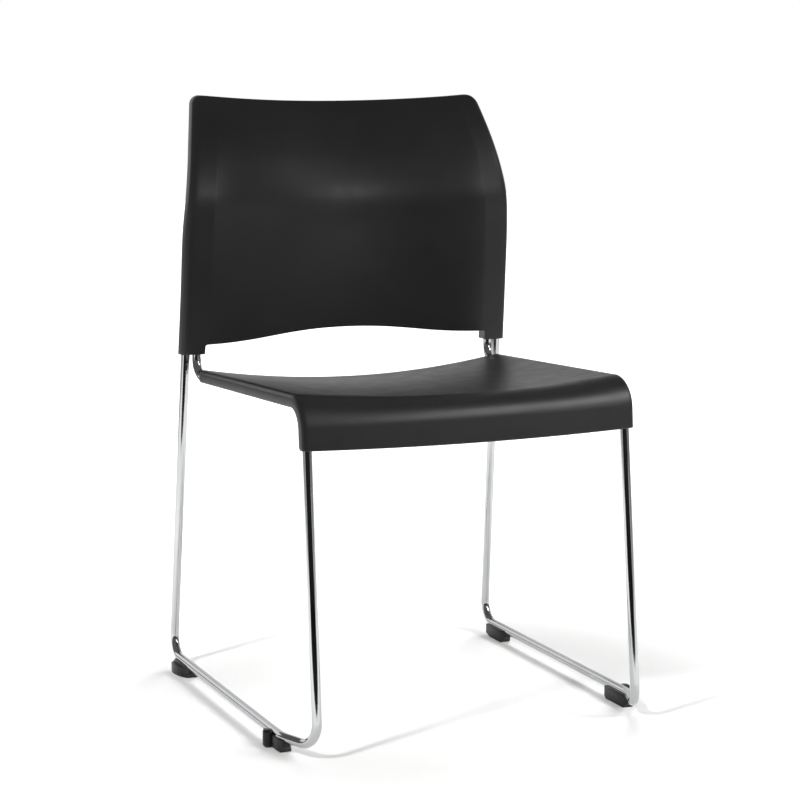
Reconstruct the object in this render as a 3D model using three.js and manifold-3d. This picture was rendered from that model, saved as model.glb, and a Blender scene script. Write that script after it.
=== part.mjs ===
// Sled-base stacking chair: two bent-rod side frames, two cross rods, a moulded
// seat and a moulded back.  Millimetres, +Z up, the sitter faces -Y.
// Lengths along Y are first measured from the front corner of the runners; the
// whole chair is centred over its footprint at the end.
import * as THREE from 'three';
import { mergeVertices } from 'three/addons/utils/BufferGeometryUtils.js';
import Module from 'manifold-3d';

const wasm = await Module();
wasm.setup();

// ---------------------------------------------------------------- driving dimensions
const GAP = 0.35; // air left between pieces that touch
const ROD = 12.7; // side frame rod diameter
const CROSS_ROD = 10; // cross rod diameter
const RUNNER_Z = 19; // height of a runner's centre line
const RUNNER_X = 257; // half the distance between the runners
const RUNNER_LENGTH = 524; // between the corners of a runner
const LEG_X = 232.5; // half the distance between the front legs
const RAIL_X = 229.3; // half the distance between the seat rails
const FRONT_LEAN = 0.102; // rearward travel of a front leg per mm of height
const REAR_LEAN = -0.11; // the same for a rear leg, which leans forward
const REAR_TAPER = 0.019; // inward travel of a rear leg per mm of height
const BEND = 30; // centre-line radius of the rod's tight bends
const UPRIGHT_BEND = 27; // the same where a seat rail turns up into the back
const JOG_START = 66; // where a runner starts to turn inboard, before the front bend
const JOG_BEND = 60; // radius of that turn
const RAIL_SLOPE = -0.039; // fall of the seat rails per mm rearward
const ROD_TOP_Z = 620; // height where both uprights end, inside the back
const RAIL_DEPTH = 13.5; // from the seat's edge down to a seat rail's centre line

const SEAT_HALF = 239.5; // half the seat's width
const SEAT_SKIN = 3.6;
const FLANGE_WALL = 3.2;
const SEAT_FRONT_Y = 26; // front face at the bottom of the apron
const SEAT_REAR_Y = 441;
const SEAT_TOP_Z = 467; // top of the side edge just behind the waterfall
const SEAT_TOP_Y = 84;
const APRON_BOTTOM_Z = 400;
const APRON_LEAN = 0.085;
const WATERFALL = 44; // radius of the rolled front edge
const FLANGE = 17.4; // depth of the seat's side flange
const SHOULDER = 7; // rounding between the seat's top and its flange
const DISH_FRONT = 12; // hollow of the seat across its width
const DISH_REAR = 20.5;
const APRON_BOW = -8; // the apron bulges forward in the middle
const APRON_SAG = 4; // and its lower edge dips there

const BACK_SKIN = 4.5;
const BACK_DEPTH = 20; // depth of the rim around the back
const BACK_BOTTOM_Z = 473; // lower end of the two sockets
const BACK_TOP_Z = 842;
const TOP_SAG = 9; // the top edge dips in the middle
const ARCH_Z = 486.8; // lower edge of the panel next to the sockets
const ARCH_RISE = 14;
const SOCKET_IN = 224; // inner side of a socket
const SOCKET_TOP_Z = 640;

const SIDES = { left: -1, right: 1 };

// ---------------------------------------------------------------- materials
const chrome = new THREE.MeshStandardMaterial({ color: 0xc9cbcc, roughness: 0.12, metalness: 1 });
const steel = new THREE.MeshStandardMaterial({ color: 0x9a9c9e, roughness: 0.35, metalness: 1 });
const zinc = new THREE.MeshStandardMaterial({ color: 0xb4b5b0, roughness: 0.4, metalness: 1 });
const shellPlastic = new THREE.MeshStandardMaterial({ color: 0x1f1f21, roughness: 0.55 });
const glidePlastic = new THREE.MeshStandardMaterial({ color: 0x161618, roughness: 0.45 });
const bumperPlastic = new THREE.MeshStandardMaterial({ color: 0x1c1c1c, roughness: 0.7 });

// ---------------------------------------------------------------- solids
const chair = new THREE.Group();

function addPiece(name, geometry, material) {
  const mesh = new THREE.Mesh(geometry, material);
  mesh.name = name;
  chair.add(mesh);
  return mesh;
}

function toSolid(geometry) {
  const bare = geometry.clone();
  bare.deleteAttribute('normal');
  bare.deleteAttribute('uv');
  const merged = mergeVertices(bare, 1e-4);
  return new wasm.Manifold(new wasm.Mesh({
    numProp: 3,
    vertProperties: new Float32Array(merged.attributes.position.array),
    triVerts: new Uint32Array(merged.index.array),
  }));
}

function toGeometry(solid) {
  const mesh = solid.getMesh();
  const geometry = new THREE.BufferGeometry();
  geometry.setAttribute('position', new THREE.BufferAttribute(mesh.vertProperties, 3));
  geometry.setIndex(new THREE.BufferAttribute(mesh.triVerts, 1));
  return geometry;
}

// A closed solid through a list of rings, each a closed loop of the same number of
// points; capShape holds the first ring flattened, which triangulates both ends.
function loft(rings, capShape) {
  const count = rings[0].length;
  const positions = rings.flat().flatMap((p) => [p.x, p.y, p.z]);
  const index = [];
  for (let k = 0; k + 1 < rings.length; k += 1) {
    for (let i = 0; i < count; i += 1) {
      const a = k * count + i;
      const b = k * count + ((i + 1) % count);
      index.push(a, b, b + count, a, b + count, a + count);
    }
  }
  const last = (rings.length - 1) * count;
  const clockwise = THREE.ShapeUtils.isClockWise(capShape);
  for (const [a, b, c] of THREE.ShapeUtils.triangulateShape(capShape, [])) {
    const [first, second, third] = clockwise ? [c, b, a] : [a, b, c];
    index.push(third, second, first, first + last, second + last, third + last);
  }
  const geometry = new THREE.BufferGeometry();
  geometry.setAttribute('position', new THREE.Float32BufferAttribute(positions, 3));
  geometry.setIndex(index);
  const volume = signedVolume(geometry);
  if (volume < 0) {
    geometry.setIndex(flipped(index));
  }
  return geometry;
}

function flipped(index) {
  const turned = [];
  for (let i = 0; i < index.length; i += 3) {
    turned.push(index[i], index[i + 2], index[i + 1]);
  }
  return turned;
}

function signedVolume(geometry) {
  const p = geometry.attributes.position;
  const corners = [new THREE.Vector3(), new THREE.Vector3(), new THREE.Vector3()];
  let volume = 0;
  for (let i = 0; i < geometry.index.count; i += 3) {
    corners.forEach((corner, j) => corner.fromBufferAttribute(p, geometry.index.getX(i + j)));
    volume += corners[0].dot(corners[1].clone().cross(corners[2])) / 6;
  }
  return volume;
}

// A flat outline pulled straight up between two heights.
function pulledUp(outline, fromZ, toZ) {
  const shape = new THREE.Shape(outline.map(([x, y]) => new THREE.Vector2(x, y)));
  const geometry = new THREE.ExtrudeGeometry(shape, { depth: toZ - fromZ, bevelEnabled: false });
  return geometry.translate(0, 0, fromZ);
}

function box(size, centre) {
  return new THREE.BoxGeometry(...size).translate(...centre);
}

const lerp = THREE.MathUtils.lerp;
const smoothstep = THREE.MathUtils.smoothstep;

// ---------------------------------------------------------------- bent rods
// A polyline with rounded corners.  Only the bends are subdivided, so that a long
// straight stretch is one step.
const BEND_STEP = THREE.MathUtils.degToRad(15);
const ROD_SIDES = 16;

class BentRod extends THREE.Curve {
  constructor(corners) {
    super();
    this.stations = [corners[0].at];
    corners.slice(1, -1).forEach((corner, i) => {
      const into = corner.at.clone().sub(corners[i].at).normalize();
      const out = corners[i + 2].at.clone().sub(corner.at).normalize();
      const turn = into.angleTo(out);
      const reach = corner.radius * Math.tan(turn / 2);
      const bisector = out.clone().sub(into).normalize();
      const centre = corner.at.clone().addScaledVector(bisector, corner.radius / Math.cos(turn / 2));
      const start = corner.at.clone().addScaledVector(into, -reach).sub(centre);
      const axis = into.clone().cross(out).normalize();
      const steps = Math.max(2, Math.round(turn / BEND_STEP));
      for (let k = 0; k <= steps; k += 1) {
        this.stations.push(start.clone().applyAxisAngle(axis, (turn * k) / steps).add(centre));
      }
    });
    this.stations.push(corners.at(-1).at);
  }

  getPointAt(u) {
    const spot = u * (this.stations.length - 1);
    const k = Math.min(Math.floor(spot), this.stations.length - 2);
    return this.stations[k].clone().lerp(this.stations[k + 1], spot - k);
  }

  getTangentAt(u) {
    const k = Math.round(u * (this.stations.length - 1));
    const before = this.stations[Math.max(k - 1, 0)];
    const here = this.stations[k];
    const after = this.stations[Math.min(k + 1, this.stations.length - 1)];
    const tangent = new THREE.Vector3();
    if (k > 0) {
      tangent.add(here.clone().sub(before).normalize());
    }
    if (k + 1 < this.stations.length) {
      tangent.add(after.clone().sub(here).normalize());
    }
    return tangent.normalize();
  }
}

function rodAlong(corners, diameter) {
  const path = new BentRod(corners);
  const section = new THREE.Shape().absarc(0, 0, diameter / 2, 0, 2 * Math.PI);
  return new THREE.ExtrudeGeometry(section, {
    steps: path.stations.length - 1,
    curveSegments: ROD_SIDES / 2,
    extrudePath: path,
    bevelEnabled: false,
  });
}

const corner = (x, y, z, radius = 0) => ({ at: new THREE.Vector3(x, y, z), radius });

const railZ = (y) => SEAT_TOP_Z - RAIL_DEPTH + RAIL_SLOPE * (y - SEAT_TOP_Y);
const rearLegAt = (z) => {
  const rise = z - RUNNER_Z;
  return { x: RUNNER_X - REAR_TAPER * rise, y: RUNNER_LENGTH + REAR_LEAN * rise };
};
const UPRIGHT_PITCH = 15.4; // between a rear leg and the inner upright beside it
const UPRIGHT_LEAD = 4.75; // the upright stands this far in front of the leg
const uprightY = (z) => rearLegAt(z).y - UPRIGHT_LEAD;

function sideFrameCorners(side) {
  const railFront = FRONT_LEAN * (SEAT_TOP_Z - RAIL_DEPTH - RUNNER_Z);
  const railRear = uprightY(railZ(RUNNER_LENGTH - 50));
  const flare = SEAT_REAR_Y - 3;
  const foot = rearLegAt(railZ(railRear));
  const top = rearLegAt(ROD_TOP_Z);
  return [
    corner(side * top.x, top.y, ROD_TOP_Z),
    corner(side * RUNNER_X, RUNNER_LENGTH, RUNNER_Z, BEND),
    corner(side * RUNNER_X, JOG_START, RUNNER_Z, JOG_BEND),
    corner(side * LEG_X, 0, RUNNER_Z, BEND),
    corner(side * RAIL_X, railFront, railZ(railFront), BEND),
    corner(side * RAIL_X, flare, railZ(flare), BEND),
    corner(side * (foot.x - UPRIGHT_PITCH), railRear, railZ(railRear), UPRIGHT_BEND),
    corner(side * (top.x - UPRIGHT_PITCH), uprightY(ROD_TOP_Z), ROD_TOP_Z),
  ];
}

// ---------------------------------------------------------------- seat
// Side profile of the seat's top edge: up the apron, over the waterfall, along the
// seat.  Every station has its place, its inward normal and its depth of dish.
function seatStations() {
  const stations = [];
  const apronY = (z) => SEAT_FRONT_Y + APRON_LEAN * (z - APRON_BOTTOM_Z);
  const topZ = (y) => SEAT_TOP_Z + RAIL_SLOPE * (y - SEAT_TOP_Y);
  const meetZ = topZ(SEAT_FRONT_Y);
  const meet = new THREE.Vector2(apronY(meetZ), meetZ);
  const up = new THREE.Vector2(APRON_LEAN, 1).normalize();
  const back = new THREE.Vector2(1, RAIL_SLOPE).normalize();
  const turn = Math.acos(up.dot(back));
  const reach = WATERFALL * Math.tan(turn / 2);
  const inward = new THREE.Vector2(up.y, -up.x);
  const arcStart = meet.clone().addScaledVector(up, -reach);
  const centre = arcStart.clone().addScaledVector(inward, WATERFALL);
  for (const share of [0, 0.5]) {
    const z = lerp(APRON_BOTTOM_Z, arcStart.y, share);
    const sag = APRON_SAG * (1 - share);
    stations.push({ y: apronY(z), z, normal: inward, dish: APRON_BOW, flange: FLANGE, sag });
  }
  const arcSteps = 7;
  for (let k = 0; k <= arcSteps; k += 1) {
    const angle = (turn * k) / arcSteps;
    const normal = inward.clone().rotateAround(new THREE.Vector2(), -angle);
    const spot = centre.clone().addScaledVector(normal, -WATERFALL);
    const dish = lerp(APRON_BOW, DISH_FRONT, smoothstep(k / arcSteps, 0, 1));
    stations.push({ y: spot.x, z: spot.y, normal, dish, flange: FLANGE });
  }
  const topStart = stations.at(-1).y;
  const down = new THREE.Vector2(back.y, -back.x);
  const topSteps = 7;
  for (let k = 1; k <= topSteps; k += 1) {
    const share = k / topSteps;
    const y = lerp(topStart, SEAT_REAR_Y, share);
    const dish = lerp(DISH_FRONT, DISH_REAR, smoothstep(share, 0, 1));
    stations.push({ y, z: topZ(y), normal: down, dish, flange: FLANGE });
  }
  return stations;
}

// Half section of the seat as (x, depth) pairs, from the flange's lower edge up
// over the rounded shoulder to the middle.
function seatHalfSection(half, skin, dish, flange) {
  const shoulder = SHOULDER - skin;
  const points = [[half, flange]];
  const arcSteps = 3;
  for (let k = 0; k <= arcSteps; k += 1) {
    const angle = (Math.PI / 2) * (k / arcSteps);
    points.push([half - shoulder * (1 - Math.cos(angle)), skin + shoulder * (1 - Math.sin(angle))]);
  }
  const spans = 5;
  const flat = half - shoulder;
  for (let k = 1; k <= spans; k += 1) {
    const share = 1 - k / spans;
    points.push([flat * share, skin + dish * (1 - share * share)]);
  }
  return points;
}

function seatSection(station) {
  const mirror = (points) => points.slice(0, -1).reverse().map(([x, d]) => [-x, d]);
  const outer = seatHalfSection(SEAT_HALF, 0, station.dish, station.flange);
  const inner = seatHalfSection(SEAT_HALF - FLANGE_WALL, SEAT_SKIN, station.dish, station.flange);
  return [...outer, ...mirror(outer), ...[...inner, ...mirror(inner)].reverse()];
}

function seatShellSolid() {
  const stations = seatStations();
  const rings = stations.map((station) => seatSection(station).map(([x, d]) => new THREE.Vector3(
    x,
    station.y + station.normal.x * d,
    station.z + station.normal.y * d - (station.sag ?? 0) * (1 - (x / SEAT_HALF) ** 2),
  )));
  const cap = seatSection(stations[0]).map(([x, d]) => new THREE.Vector2(x, d));
  return toSolid(loft(rings, cap));
}

// Underside height of the seat at a place between the rails.
function seatUndersideZ(x, y) {
  const frontY = SEAT_FRONT_Y + WATERFALL;
  const dish = lerp(DISH_FRONT, DISH_REAR, smoothstep(y, frontY, SEAT_REAR_Y));
  const top = SEAT_TOP_Z + RAIL_SLOPE * (y - SEAT_TOP_Y);
  return top - SEAT_SKIN - dish * (1 - (x / SEAT_HALF) ** 2);
}

// A strip that hangs under the seat and follows its hollow, across the width.
const ROOT = 1.5; // how far ribs and bosses reach into the skin above them
const RIB = { thick: 2.5, hang: 7, outboard: 40, fromScrews: 60 };
const REAR_LIP = { thick: 5, hang: 9, fromSides: 20 };

function hangingStrip(y, thickness, hang, half) {
  const spans = 8;
  const rings = [];
  for (let k = 0; k <= spans; k += 1) {
    const x = lerp(-half, half, k / spans);
    const top = seatUndersideZ(x, y) + ROOT;
    const bottom = seatUndersideZ(x, y) - hang;
    rings.push([[0, top], [thickness, top], [thickness, bottom], [0, bottom]].map(
      ([dy, z]) => new THREE.Vector3(x, y + dy, z),
    ));
  }
  const cap = rectangle(0, 1, 0, 1).reverse().map(([u, v]) => new THREE.Vector2(u, v));
  return toSolid(loft(rings, cap));
}

// ---------------------------------------------------------------- seat fixings
const FIXING_X = 142; // half the distance between the seat screws
const FIXING_Y = { front: 130, rear: 370 };
const PLATE = { width: 28, length: 30, thick: 3, forward: 4, hole: 3.1 };
const CROSS_DROP = 20; // cross rods run this far below the seat rails
const CROSS_RAMP = 60; // and reach that depth this far inboard of them
const CROSS_OFFSET = 13; // a cross rod lies this far in front of its screws
const crossZ = (y) => railZ(y) - CROSS_DROP;
const plateTop = (y) => crossZ(y - CROSS_OFFSET) + CROSS_ROD / 2 + GAP + PLATE.thick;
const SCREW = { shank: 2.4, head: 5.5, headHeight: 3.6, length: 10, pilot: 2.8 };
const BOSS = 8; // boss radius
const FIN = { length: 33.6, thick: 2 }; // a cross of two fins stiffens every boss

function crossRodCorners(row) {
  const y = FIXING_Y[row] - CROSS_OFFSET;
  const end = RAIL_X - ROD / 2 - GAP;
  const inboard = end - CROSS_RAMP;
  return [
    corner(-end, y, railZ(y)),
    corner(-inboard, y, crossZ(y), BEND),
    corner(inboard, y, crossZ(y), BEND),
    corner(end, y, railZ(y)),
  ];
}

function screwGeometry({ shank, head, headHeight, length }) {
  const socket = head * 0.42;
  const floor = headHeight / 2;
  const tip = 3; // length of the point
  const profile = [
    [0, -length], [shank, -length + tip], [shank, 0], [head, 0], [head, headHeight * 0.45],
    [head * 0.72, headHeight], [socket, headHeight], [socket, floor], [0, floor],
  ];
  return new THREE.LatheGeometry(profile.map(([r, h]) => new THREE.Vector2(r, h)), 12).rotateX(Math.PI / 2);
}

function seatSolid() {
  let solid = seatShellSolid();
  const lipY = SEAT_REAR_Y - REAR_LIP.thick;
  const lipHalf = SEAT_HALF - REAR_LIP.fromSides;
  solid = solid.add(hangingStrip(lipY, REAR_LIP.thick, REAR_LIP.hang, lipHalf));
  for (const [row, y] of Object.entries(FIXING_Y)) {
    for (const side of Object.values(SIDES)) {
      const x = side * FIXING_X;
      const bottom = plateTop(y) + GAP;
      const top = seatUndersideZ(x, y) + ROOT;
      const height = top - bottom;
      const boss = new THREE.CylinderGeometry(BOSS, BOSS, height, 14);
      boss.rotateX(Math.PI / 2).translate(x, y, bottom + height / 2);
      solid = solid.add(toSolid(boss));
      for (const turn of [0, Math.PI / 2]) {
        const fin = box([FIN.length, FIN.thick, height], [0, 0, 0]).rotateZ(turn);
        fin.translate(x, y, top - height / 2);
        solid = solid.add(toSolid(fin));
      }
      const pilot = new THREE.CylinderGeometry(SCREW.pilot, SCREW.pilot, SCREW.length + 1, 12);
      pilot.rotateX(Math.PI / 2).translate(x, y, plateTop(y) - PLATE.thick + SCREW.length / 2);
      solid = solid.subtract(toSolid(pilot));
    }
    const ribY = row === 'front' ? y + RIB.fromScrews : y - RIB.fromScrews;
    solid = solid.add(hangingStrip(ribY, RIB.thick, RIB.hang, FIXING_X + RIB.outboard));
  }
  return solid;
}

function seatPlate(side, row) {
  const y = FIXING_Y[row];
  const plate = toSolid(box(
    [PLATE.width, PLATE.length, PLATE.thick],
    [side * FIXING_X, y - PLATE.forward, plateTop(y) - PLATE.thick / 2],
  ));
  const hole = new THREE.CylinderGeometry(PLATE.hole, PLATE.hole, 4 * PLATE.thick, 12);
  hole.rotateX(Math.PI / 2).translate(side * FIXING_X, y, plateTop(y));
  return toGeometry(plate.subtract(toSolid(hole)));
}

// ---------------------------------------------------------------- back
// Half width and front face of the back's side edge, as a smooth curve of height.
const BACK_EDGE = new THREE.CatmullRomCurve3([
  new THREE.Vector3(257.7, 459.5, 473),
  new THREE.Vector3(256, 449.5, 560),
  new THREE.Vector3(254.3, 440.9, 650),
  new THREE.Vector3(250.3, 437, 699),
  new THREE.Vector3(244.3, 445.7, 740),
  new THREE.Vector3(237.2, 461.8, 780),
  new THREE.Vector3(228.6, 482.8, 820),
  new THREE.Vector3(223.5, 496, 842),
], false, 'centripetal');
const EDGE_ROUND = 9; // between the front face and the side walls
const TOP_CORNER = 13; // radius of the two top corners
const CAP_BEND = 60;
const HOLLOW_SHARE = 0.85; // the front face is flat outside this share of the half width
const HOLLOW = { bottom: 23.5, deepest: 42, deepestZ: 770, top: 38 }; // depth of the hollow

function backEdgeAt(z) {
  let low = 0;
  let high = 1;
  for (let k = 0; k < 24; k += 1) {
    const middle = (low + high) / 2;
    if (BACK_EDGE.getPoint(middle).z < z) {
      low = middle;
    } else {
      high = middle;
    }
  }
  const spot = BACK_EDGE.getPoint(low);
  return { half: spot.x, y: spot.y };
}

// How far the middle of the back lies behind its side edges.
function backHollow(z) {
  const lower = lerp(HOLLOW.bottom, HOLLOW.deepest, smoothstep(z, BACK_BOTTOM_Z, HOLLOW.deepestZ));
  const rise = Math.max(0, (z - HOLLOW.deepestZ) / (BACK_TOP_Z - HOLLOW.deepestZ));
  return lerp(lower, HOLLOW.top, rise * rise);
}

// One closed ring of the back at a share of its height.  inset moves its sides and
// top inward; front and rear are depths behind the front face.
function backRing(share, inset, front, rear) {
  const topZ = BACK_TOP_Z - inset;
  const z = lerp(BACK_BOTTOM_Z, topZ, share);
  const edge = backEdgeAt(z);
  const above = Math.max(0, (z - (topZ - TOP_CORNER)) / TOP_CORNER);
  const half = edge.half - inset - TOP_CORNER * (1 - Math.sqrt(Math.max(0, 1 - above * above)));
  const round = EDGE_ROUND - inset;
  const flat = half - round;
  const hollowHalf = edge.half * HOLLOW_SHARE;
  const wall = ([x, depth]) => {
    const bowl = Math.max(0, 1 - (x / hollowHalf) ** 2) ** 1.4;
    const sag = TOP_SAG * share ** 6 * (1 - (x / half) ** 2);
    return new THREE.Vector3(x, edge.y + depth + backHollow(z) * bowl, z - sag);
  };
  const side = [[half, rear]];
  for (const angle of [0, 30, 60, 90].map(THREE.MathUtils.degToRad)) {
    side.push([flat + round * Math.cos(angle), front + round * (1 - Math.sin(angle))]);
  }
  const places = [0.84, 0.67, 0.5, 0.33, 0.17, 0];
  const face = places.map((place) => [flat * place, front]);
  const rim = places.map((place) => [half * place, rear]);
  const mirrored = (points) => points.slice().reverse().map(([x, depth]) => [-x, depth]);
  return [
    ...side, ...face, ...mirrored([...side, ...face.slice(0, -1)]),
    ...mirrored(rim).slice(1).reverse(), ...rim.slice().reverse(),
  ].map(wall);
}

function backBlock(inset, front, rear, shares) {
  const rings = shares.map((share) => backRing(share, inset, front, rear));
  // bent strongly for the caps, so that each of their triangles stays narrow
  const cap = rings[0].map((p) => new THREE.Vector2(p.x, p.y - p.x * p.x / CAP_BEND));
  return toSolid(loft(rings, cap));
}

// Offsets of a socket's walls from the rear leg's centre line.
const SOCKET = { front: 12.6, rear: 14, collar: 12 };
const SOCKET_SECTION = [
  [-23.6, -10.6], [-21.6, -SOCKET.front], [2, -SOCKET.front], [6.5, -9.5], [8.3, -5],
  [8.3, 6], [5, SOCKET.rear], [-21, SOCKET.rear], [-23.6, 9.7],
];
const BACK_PLATE = { half: 13, thick: 3, fromZ: 500, toZ: 580 };
const RELIEF = { margin: 4, front: 8.6, above: 3 }; // clearance around the rods in a socket
const BACK_SCREW = {
  shank: 2,
  head: 5,
  headHeight: 3.2,
  length: 8,
  heights: [515, 565],
  hole: { from: 6.2, to: 30 }, // from inside the plate's slot to behind the socket
};

// A block along the direction of the rear leg, between two heights, with the given
// section (x and y offsets from the rear leg's centre line).
function alongUpright(side, section, fromZ, toZ) {
  const rings = [fromZ, toZ].map((z) => {
    const leg = rearLegAt(z);
    return section.map(([x, y]) => new THREE.Vector3(side * (leg.x + x), leg.y + y, z));
  });
  return toSolid(loft(rings, section.map(([x, y]) => new THREE.Vector2(side * x, y))));
}

// The place on the rear leg's line, moved to the middle of the two uprights.
function betweenUprights(side, z) {
  const leg = rearLegAt(z);
  return { x: side * (leg.x - UPRIGHT_PITCH / 2), y: leg.y };
}

// The back screws are square to the leaning rear walls of the sockets.
const SCREW_TILT = Math.atan(-REAR_LEAN);

function screwHole(side, z, radius) {
  const spot = betweenUprights(side, z);
  const { from, to } = BACK_SCREW.hole;
  const hole = new THREE.CylinderGeometry(radius, radius, to - from, 12).translate(0, (from + to) / 2, 0);
  return toSolid(hole.rotateX(SCREW_TILT).translate(spot.x, spot.y, z));
}

function backPlate(side) {
  const front = ROD / 2 + GAP;
  const middle = -UPRIGHT_PITCH / 2;
  const section = rectangle(
    middle - BACK_PLATE.half,
    middle + BACK_PLATE.half,
    front,
    front + BACK_PLATE.thick,
  );
  let plate = alongUpright(side, section, BACK_PLATE.fromZ, BACK_PLATE.toZ);
  for (const z of BACK_SCREW.heights) {
    plate = plate.subtract(screwHole(side, z, BACK_SCREW.shank + GAP));
  }
  return toGeometry(plate);
}

function rectangle(x0, x1, y0, y1) {
  return [[x0, y0], [x1, y0], [x1, y1], [x0, y1]];
}

function backSolid() {
  const shares = [0, 0.12, 0.24, 0.36, 0.48, 0.58, 0.66, 0.74, 0.82, 0.9, 0.95, 0.968, 0.98, 0.99, 0.997, 1];
  const tray = backBlock(0, 0, BACK_DEPTH, shares);
  const hollow = backBlock(BACK_SKIN, BACK_SKIN, BACK_DEPTH + 30, shares);
  let solid = tray.subtract(hollow);
  for (const side of Object.values(SIDES)) {
    solid = solid.add(alongUpright(side, SOCKET_SECTION, BACK_BOTTOM_Z, SOCKET_TOP_Z));
  }
  // the panel's lower edge arches up between the sockets
  const arch = new THREE.Shape();
  arch.moveTo(-SOCKET_IN, BACK_BOTTOM_Z - 20);
  arch.lineTo(SOCKET_IN, BACK_BOTTOM_Z - 20);
  arch.lineTo(SOCKET_IN, ARCH_Z);
  arch.bezierCurveTo(SOCKET_IN * 0.55, ARCH_Z, SOCKET_IN * 0.45, ARCH_Z + ARCH_RISE, 0, ARCH_Z + ARCH_RISE);
  arch.bezierCurveTo(-SOCKET_IN * 0.45, ARCH_Z + ARCH_RISE, -SOCKET_IN * 0.55, ARCH_Z, -SOCKET_IN, ARCH_Z);
  const archCutter = new THREE.ExtrudeGeometry(arch, { depth: 200, bevelEnabled: false, curveSegments: 8 });
  archCutter.rotateX(Math.PI / 2).translate(0, 600, 0);
  solid = solid.subtract(toSolid(archCutter));
  for (const side of Object.values(SIDES)) {
    const reach = ROD / 2 + GAP;
    solid = solid.subtract(toSolid(rodAlong(sideFrameCorners(side), ROD + 2 * GAP)));
    const relief = rectangle(-UPRIGHT_PITCH - RELIEF.margin, RELIEF.margin, -RELIEF.front, 0);
    const reliefFrom = BACK_BOTTOM_Z + SOCKET.collar;
    solid = solid.subtract(alongUpright(side, relief, reliefFrom, ROD_TOP_Z + RELIEF.above));
    const half = BACK_PLATE.half + GAP;
    const middle = -UPRIGHT_PITCH / 2;
    const slot = rectangle(middle - half, middle + half, reach - 1, reach + BACK_PLATE.thick + GAP);
    solid = solid.subtract(alongUpright(side, slot, BACK_BOTTOM_Z - 10, BACK_PLATE.toZ + 2));
    for (const z of BACK_SCREW.heights) {
      solid = solid.subtract(screwHole(side, z, BACK_SCREW.shank + GAP));
    }
  }
  return solid;
}

// ---------------------------------------------------------------- glides
// Outlines in plan for the left runner: out is away from the chair's middle, y runs
// rearward.  Every glide is a saddle under the runner on a wider foot.
const GLIDE = {
  lip: -0.5, // height of the saddle's lips above the centre line
  ledge: -4, // top of the foot
  saddleFrom: 2, // the saddle starts this far inside the foot
  cutterHalf: 45, // half width of the cutters below
  // the floor face runs between these places, and is cut back by rise over run
  front: [{ y: 60, run: -8, rise: 9 }, { y: 108, run: 5, rise: 5 }],
  rear: [{ y: 446, run: -8, rise: 9 }, { y: 482, run: 14, rise: 5 }],
};

const GLIDE_FOOT = {
  front: [[-5.5, 51], [3.5, 53], [5.3, 60], [5.6, 78], [9, 113], [-11, 113], [-11, 60]],
  rear: [
    [-6, 437], [3.5, 440], [6.5, 447], [11, 455], [14.5, 466], [16, 478], [15.5, 488],
    [11, 496], [-11, 496], [-11, 446],
  ],
};
const GLIDE_SADDLE = {
  front: [[-5.5, 51], [4, 53], [8, 62], [9, 113], [-11, 113], [-11, 60]],
  rear: [[-6, 437], [4, 440], [8, 450], [10, 470], [10.5, 490], [7, 496], [-11, 496], [-11, 446]],
};
const GLIDE_POST = { out: 9.5, y: 91, radius: 7.5, top: 4.5, dome: 3 };

function glideSolid(side, row) {
  const place = (outline) => outline.map(([out, y]) => [side * (RUNNER_X + out), y]);
  const foot = pulledUp(place(GLIDE_FOOT[row]), 0, RUNNER_Z + GLIDE.ledge);
  const saddle = pulledUp(place(GLIDE_SADDLE[row]), GLIDE.saddleFrom, RUNNER_Z + GLIDE.lip);
  let solid = toSolid(foot).add(toSolid(saddle));
  if (row === 'front') {
    const { out, y, radius, top, dome } = GLIDE_POST;
    const height = RUNNER_Z + top;
    const profile = [
      [0, 0], [radius - 2, 0], [radius, 3], [radius, height - dome],
      [radius - 1.5, height - 0.9], [radius - 4, height], [0, height],
    ];
    const post = new THREE.LatheGeometry(profile.map(([r, h]) => new THREE.Vector2(r, h)), 14);
    post.rotateX(Math.PI / 2).translate(side * (RUNNER_X + out), y, 0);
    solid = solid.add(toSolid(post));
  }
  for (const { y, run, rise } of GLIDE[row]) {
    const beyond = y + run + Math.sign(run) * 20;
    const wedge = new THREE.Shape([
      new THREE.Vector2(y, 0),
      new THREE.Vector2(y + run, rise),
      new THREE.Vector2(beyond, rise),
      new THREE.Vector2(beyond, -5),
      new THREE.Vector2(y, -5),
    ]);
    const cutter = new THREE.ExtrudeGeometry(wedge, { depth: 2 * GLIDE.cutterHalf, bevelEnabled: false });
    // shape x becomes +Y, shape y becomes +Z, the pull becomes +X
    cutter.applyMatrix4(new THREE.Matrix4().set(0, 0, 1, 0, 1, 0, 0, 0, 0, 1, 0, 0, 0, 0, 0, 1));
    cutter.translate(side * RUNNER_X - GLIDE.cutterHalf, 0, 0);
    solid = solid.subtract(toSolid(cutter));
  }
  return solid.subtract(toSolid(rodAlong(sideFrameCorners(side), ROD + 2 * GAP)));
}

// ---------------------------------------------------------------- stacking bumpers
// A clip on the cross rod with a pad below it, which rests on the seat of the chair
// underneath in a stack.
const BUMPER = { x: 105, length: 28, half: 9, pad: 11, mouth: 4.2, lip: 1.5, corner: 3 };

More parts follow.
